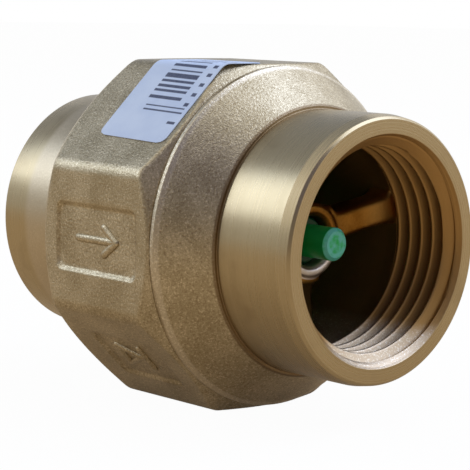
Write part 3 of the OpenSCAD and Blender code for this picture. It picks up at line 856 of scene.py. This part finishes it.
def green_nylon(name, cut_end=None, recess=None):
    """Green plastic, frosted where the sprue was cut off, and painted dark in a recess as painted shade.
    """
    plastic = Finish(name)
    flow = plastic.noise(2.5, 3, (0.35, 1, 1))
    fine = plastic.noise(0.12, 2)
    colour = plastic.mix(plastic.step(flow, 0.3, 0.7), GREEN_DEEP, GREEN_PALE)
    if cut_end:
        swirl = plastic.noise(0.9, 3)
        frost = plastic.step(plastic.x, cut_end - 0.5 * MM, cut_end - 0.3 * MM)
        middle = plastic.step(plastic.radius, 1.35 * MM, 0.9 * MM)
        colour = plastic.mix(frost * plastic.step(swirl - middle * 0.2, 0.15, 0.55), colour, FROST)
        # painted shade: the recess at the hub is painted dark
        colour = plastic.mix(plastic.between(plastic.x, *recess, 0.1 * MM) * 0.9, colour, RECESS_SHADE)
    return plastic.surface(base_color=colour, roughness=0.30 + flow * 0.18,
                           normal=plastic.bump(fine * 0.4 + flow * 0.6, 0.02),
                           subsurface_weight=0.08, subsurface_scale=0.0006)


def rubber(name):
    """Black rubber with a grey bloom."""
    seal = Finish(name)
    bloom, fine = seal.noise(1.2, 3), seal.noise(0.1, 2)
    colour = seal.mix(seal.step(bloom, 0.4, 0.75), RUBBER_BLACK, RUBBER_BLOOM)
    return seal.surface(base_color=colour, roughness=0.55 + bloom * 0.25, normal=seal.bump(fine, 0.012))


poppet_nylon = green_nylon("green_nylon", TIP_END, HUB_RECESS)
ring_nylon = green_nylon("green_nylon_ring")
seal_rubber = rubber("seal_rubber")
for node, finish in (("poppet", poppet_nylon), ("seal_retainer", ring_nylon), ("seat_seal", seal_rubber),
                     ("joint_seal", seal_rubber)):
    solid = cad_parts[node]
    solid.data.materials.clear()
    solid.data.materials.append(finish.material)
    print(node, "has", finish.material.name)

# %% [markdown]
# ## Spring
# A compression spring has its last turn closed at each end, so that it stands square. The wire is
# drawn steel. When the poppet lifts, the spring shortens towards the hub.

# %% Spring
WIRE_R, COIL_R, SPRING_TURNS, WIRE_STEPS, WIRE_SIDES = 0.4, 3.95, 7, 48, 14
# the spring stands between the poppet's boss at -6.45 and the hub's back at 8.85, with a little play
SPRING_BACK, SPRING_FRONT, POPPET_LIFT = -6.45 + 0.42, 8.85 - 0.42, 6.0
STEEL_DARK, STEEL_PALE = (0.42, 0.41, 0.40), (0.66, 0.65, 0.63)

steel = Finish("spring_steel")
drawn = steel.noise(0.25, 3, (1, 0.4, 0.4))
spring_steel = steel.surface(base_color=steel.mix(drawn, STEEL_DARK, STEEL_PALE), metallic=1.0,
                             roughness=0.26 + drawn * 0.16, normal=steel.bump(drawn, 0.01))

wire_turn = np.arange(SPRING_TURNS * WIRE_STEPS + 1) / WIRE_STEPS
free_length = SPRING_FRONT - SPRING_BACK
rise = (free_length - 4 * WIRE_R) / (SPRING_TURNS - 2)
closed_back = wire_turn * 2 * WIRE_R
closed_front = free_length - (SPRING_TURNS - wire_turn) * 2 * WIRE_R
climbing = 2 * WIRE_R + (wire_turn - 1) * rise
coil_x = np.where(wire_turn < 1, closed_back,
                  np.where(wire_turn > SPRING_TURNS - 1, closed_front, climbing))
around = np.linspace(0, 2 * math.pi, WIRE_SIDES, endpoint=False)
coil_points = around_axis(SPRING_BACK + coil_x[:, None] + WIRE_R * np.sin(around),
                          COIL_R + WIRE_R * np.cos(around), 2 * math.pi * wire_turn[:, None])
spring = piece("spring_coil", coil_points.reshape(-1, 3), rod_faces(len(wire_turn), WIRE_SIDES),
               spring_steel, "housing", "spring_steel", ["spring"])
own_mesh(spring)

# %% [markdown]
# ## Label
# A paper label is stuck a little askew over the corner between two flats. Its shape is a rectangle
# with round corners, laid on the octagon: each point's distance down the label is walked along the
# octagon's outline, so the paper bends over the edge as a real one does. The print is made of plain
# bars and blocks.

# %% Label sheet
# the label's reach along the valve, down from the octagon's corner, and back over the top
LABEL_L, LABEL_DOWN, LABEL_TOP = 12.2, 12.6, 6.3
LABEL_MIDDLE_X, LABEL_TILT, LABEL_CORNER = 2.0, math.radians(2.4), 1.1
GLUE, PAPER = 0.02, 0.10
# the radius stands this far off square on the paper, in radians
LEAN = 0.2
DOWN_LINES, ALONG_LINES = 90, 60

walk_turn = np.linspace(UPPER_FRONT_FLAT - EIGHTH * 1.2, UPPER_FRONT_FLAT + EIGHTH * 0.7, 1200)
walk_r = octagon_radius(walk_turn)
walk_y, walk_z = walk_r * np.cos(walk_turn), walk_r * np.sin(walk_turn)
walked = np.concatenate([[0], np.cumsum(np.hypot(np.diff(walk_y), np.diff(walk_z)))])
walked -= np.interp(UPPER_FRONT_FLAT - EIGHTH / 2, walk_turn, walked)

label_uv, label_points = [], []
for lift in (GLUE, GLUE + PAPER):
    for down in np.linspace(-LABEL_TOP, LABEL_DOWN, DOWN_LINES):
        inset = max(LABEL_CORNER - min(down + LABEL_TOP, LABEL_DOWN - down), 0)
        half = LABEL_L / 2 - (LABEL_CORNER - math.sqrt(LABEL_CORNER**2 - inset**2))
        aside = (down - LABEL_DOWN / 2) * math.sin(LABEL_TILT)
        for along in np.linspace(-half, half, ALONG_LINES):
            walk = down * math.cos(LABEL_TILT) + along * math.sin(LABEL_TILT)
            label_points.append(around_axis(LABEL_MIDDLE_X + along * math.cos(LABEL_TILT) - aside,
                                            np.interp(walk, walked, walk_r) + lift / math.cos(LEAN),
                                            np.interp(walk, walked, walk_turn)))
            label_uv.append((along, down))

layer = DOWN_LINES * ALONG_LINES
sheet_faces = grid_faces(DOWN_LINES, ALONG_LINES)
label_faces = [tuple(f[::-1]) for f in sheet_faces] + [tuple(f + layer) for f in sheet_faces]
number = np.arange(layer).reshape(DOWN_LINES, ALONG_LINES)
edge = [*number[0], *number[1:, -1], *number[-1, -2::-1], *number[-2:0:-1, 0]]
label_faces += [(a, b, b + layer, a + layer) for a, b in zip(edge, edge[1:] + edge[:1])]
print("label sheet:", len(label_points), "points on two sides")

# %% Label print
# the paper's blue tint is painted cool light; the paper itself is white
PAPER_BLUE, PAPER_PALE, INK = (0.56, 0.67, 0.90), (0.63, 0.74, 0.95), (0.018, 0.025, 0.080)
# bars and blocks of ink: both ends along the label, then both ends down it from the corner, in mm
BARS = [(-2.4, 3.6, 5.65, 6.15), (-2.4, 3.6, 4.62, 5.02), (-2.4, 3.6, 3.85, 4.30),
        (-2.4, 3.6, 3.05, 3.45), (-2.4, 3.6, 2.00, 2.72), (-2.2, 3.6, 1.38, 1.62),
        (-2.4, 3.6, 0.35, 0.85), (-2.4, 3.6, -0.55, -0.25), (-2.4, 3.6, -1.60, -1.10),
        (-2.4, 3.6, -2.60, -2.35), (-2.4, 3.6, -3.90, -3.30), (-1.8, 5.4, 7.15, 7.35),
        (-1.7, 5.5, 7.80, 8.05), (4.2, 5.6, 9.30, 9.70)]
BARS += [(4.7, 5.5, y, y + 0.55) for y in (6.3, 4.7, 3.1, 1.5, 0.1, -1.4, -2.9)]
INK_SPREAD = 0.07

paper = Finish("printed_label")
ink_x, ink_y, _ = paper.axes(paper.node("ShaderNodeUVMap", {"uv_map": "print"}))
printed = [paper.between(ink_x, x0, x1, INK_SPREAD) * paper.between(ink_y, y0, y1, INK_SPREAD)
           for x0, x1, y0, y1 in BARS]
ink = sum(printed[1:], printed[0])
fibres, clouds = paper.noise(0.35, 4), paper.noise(4, 2)
sheet_colour = paper.mix(paper.step(clouds, 0.3, 0.7), PAPER_BLUE, PAPER_PALE)
label_paper = paper.surface(base_color=paper.mix(ink * (0.82 + fibres * 0.18), sheet_colour, INK),
                            roughness=0.52 + fibres * 0.1, normal=paper.bump(fibres, 0.012))
label = piece("label_sheet", label_points, label_faces, label_paper, "housing", "label_paper", ["label"],
              sharp_above=50)
uv_layer = label.data.uv_layers.new(name="print")
for loop in label.data.loops:
    uv_layer.data[loop.index].uv = label_uv[loop.vertex_index]
